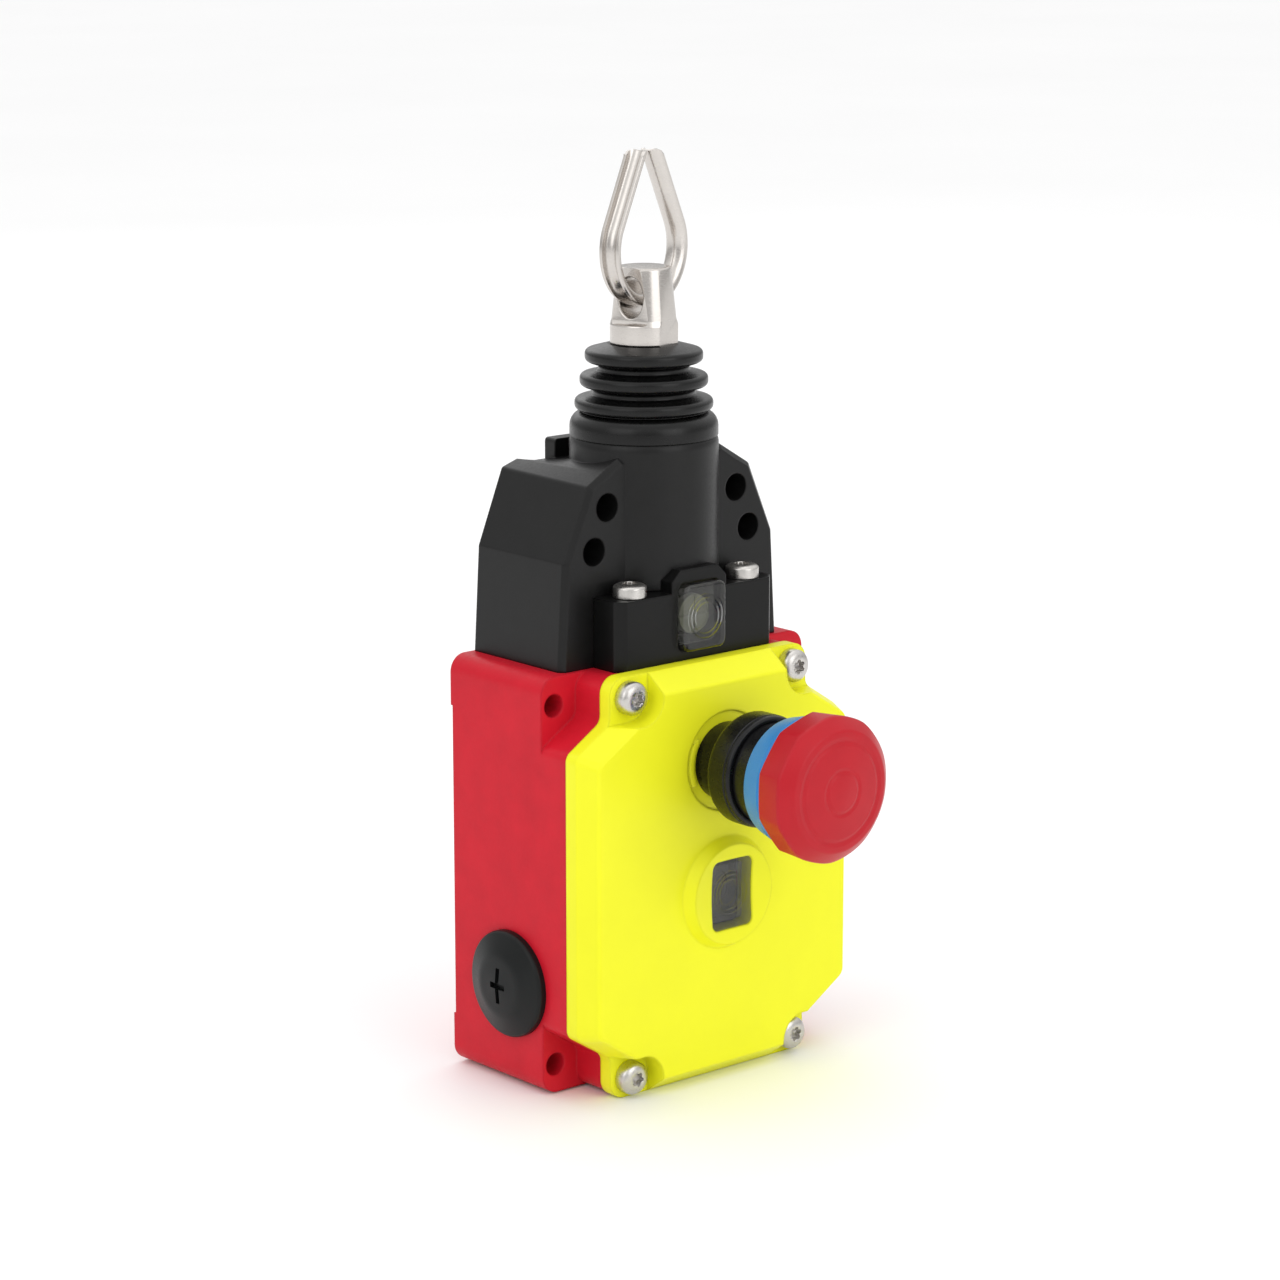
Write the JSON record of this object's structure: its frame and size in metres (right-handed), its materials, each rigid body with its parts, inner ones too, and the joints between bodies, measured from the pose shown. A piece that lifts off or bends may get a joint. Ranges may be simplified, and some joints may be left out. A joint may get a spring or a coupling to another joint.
{
  "type": "rope pull switch",
  "caption": "Rope pull safety switch with die-cast housing, front cover, mushroom stop button, window, dark head with wings, rubber bellows and a rod with eye nut and rope thimble.",
  "frame": {"origin": "centre of the four rear mounting holes, on the plane of the rear corner pads", "axes": "+Z along the rod towards the rope, +Y to the rear, into the wall that carries the switch, +X to the right seen from the front"},
  "size_m": [0.0976, 0.0981, 0.2349],
  "materials": {
    "body_red": "fine powder coat",
    "cover_yellow": "satin",
    "head_black": "satin",
    "block_black": "satin",
    "plug_black": "satin",
    "collar_black": "gloss",
    "bellows_rubber": "satin",
    "seal_rubber": "matte",
    "stainless": "satin",
    "screw_steel": "bright",
    "spring_steel": "satin",
    "brass": "satin",
    "clear_lens": "clear",
    "target_plastic": "satin",
    "flag_plastic": "satin",
    "cam_plastic": "matte",
    "carrier_plastic": "matte",
    "contact_plastic": "satin",
    "plunger_plastic": "satin",
    "cap_red": "satin",
    "ring_blue": "satin"
  },
  "bodies": {
    "switch_body": {"housing": "body_red", "cover": "cover_yellow", "cover_gasket": "seal_rubber", "cover_screws": "screw_steel", "cover_window": "clear_lens", "left_plug": "plug_black", "right_plug": "plug_black", "plug_seals": "seal_rubber", "head_housing": "head_black", "head_seal": "seal_rubber", "head_screws": "screw_steel", "guide_bush": "brass", "indicator_block": "block_black", "block_screws": "screw_steel", "head_window": "clear_lens", "bellows": "bellows_rubber", "rope_spring": "spring_steel", "mechanism_carrier": "carrier_plastic", "carrier_screws": "screw_steel", "pull_contact_block": "contact_plastic", "slack_contact_block": "contact_plastic", "contact_screws": "screw_steel", "terminal_screws": "brass", "latch_pin": "spring_steel", "earth_screw": "brass", "earth_clamp": "brass", "button_collar": "collar_black", "collar_nut": "collar_black", "button_spring": "spring_steel", "button_contact_block": "contact_plastic", "button_terminal_screws": "brass", "button_block_screws": "screw_steel"},
    "rope_rod": {"pull_rod": "stainless", "eye_nut": "stainless", "switching_cam": "cam_plastic", "rod_pin": "spring_steel", "indicator_flag": "flag_plastic", "tension_indicator": "target_plastic"},
    "thimble": {"thimble": "stainless"},
    "pull_plunger": {"pull_plunger": "plunger_plastic"},
    "slack_plunger": {"slack_plunger": "plunger_plastic"},
    "latch_lever": {"latch_lever": "spring_steel"},
    "button_stem": {"button_stem": "plunger_plastic", "stem_clip": "spring_steel"},
    "button_cap": {"button_cap": "cap_red", "reset_ring": "ring_blue", "button_sleeve": "collar_black"},
    "button_plunger": {"button_plunger": "plunger_plastic"}
  },
  "joints": [
    {"name": "rope_pull", "type": "slide", "parent": "switch_body", "child": "rope_rod", "axis": [0, 0, 1], "range_m": [-0.0045, 0.0045], "stiffness_N_per_m": 10000, "deforming": ["bellows", "rope_spring"]},
    {"name": "thimble_swing", "type": "hinge", "parent": "rope_rod", "child": "thimble", "pos_m": [0, -0.0239, 0.1424], "axis": [0.9781, 0.2079, 0], "range_deg": [-90, 90]},
    {"name": "pull_plunger_slide", "type": "slide", "parent": "switch_body", "child": "pull_plunger", "axis": [1, 0, 0], "range_m": [-0.0014, 0.0014]},
    {"name": "slack_plunger_slide", "type": "slide", "parent": "switch_body", "child": "slack_plunger", "axis": [1, 0, 0], "range_m": [-0.0014, 0.0014]},
    {"name": "latch_swing", "type": "hinge", "parent": "switch_body", "child": "latch_lever", "pos_m": [0.013, -0.021, -0.026], "axis": [0, 1, 0], "range_deg": [0, 8], "stiffness_Nm_per_rad": 0.05},
    {"name": "button_press", "type": "slide", "parent": "switch_body", "child": "button_stem", "axis": [0, 1, 0], "range_m": [0, 0.005], "stiffness_N_per_m": 2500},
    {"name": "button_turn", "type": "hinge", "parent": "button_stem", "child": "button_cap", "pos_m": [0, -0.09, 0.0296], "axis": [0, 1, 0], "range_deg": [0, 45], "stiffness_Nm_per_rad": 0.1},
    {"name": "button_plunger_slide", "type": "slide", "parent": "switch_body", "child": "button_plunger", "axis": [0, 1, 0], "range_m": [0, 0.005]}
  ],
  "couplings": [
    {"joint": "pull_plunger_slide", "follows": "rope_pull", "ratio": -0.3},
    {"joint": "slack_plunger_slide", "follows": "rope_pull", "ratio": -0.3},
    {"joint": "button_plunger_slide", "follows": "button_press", "ratio": 1}
  ]
}
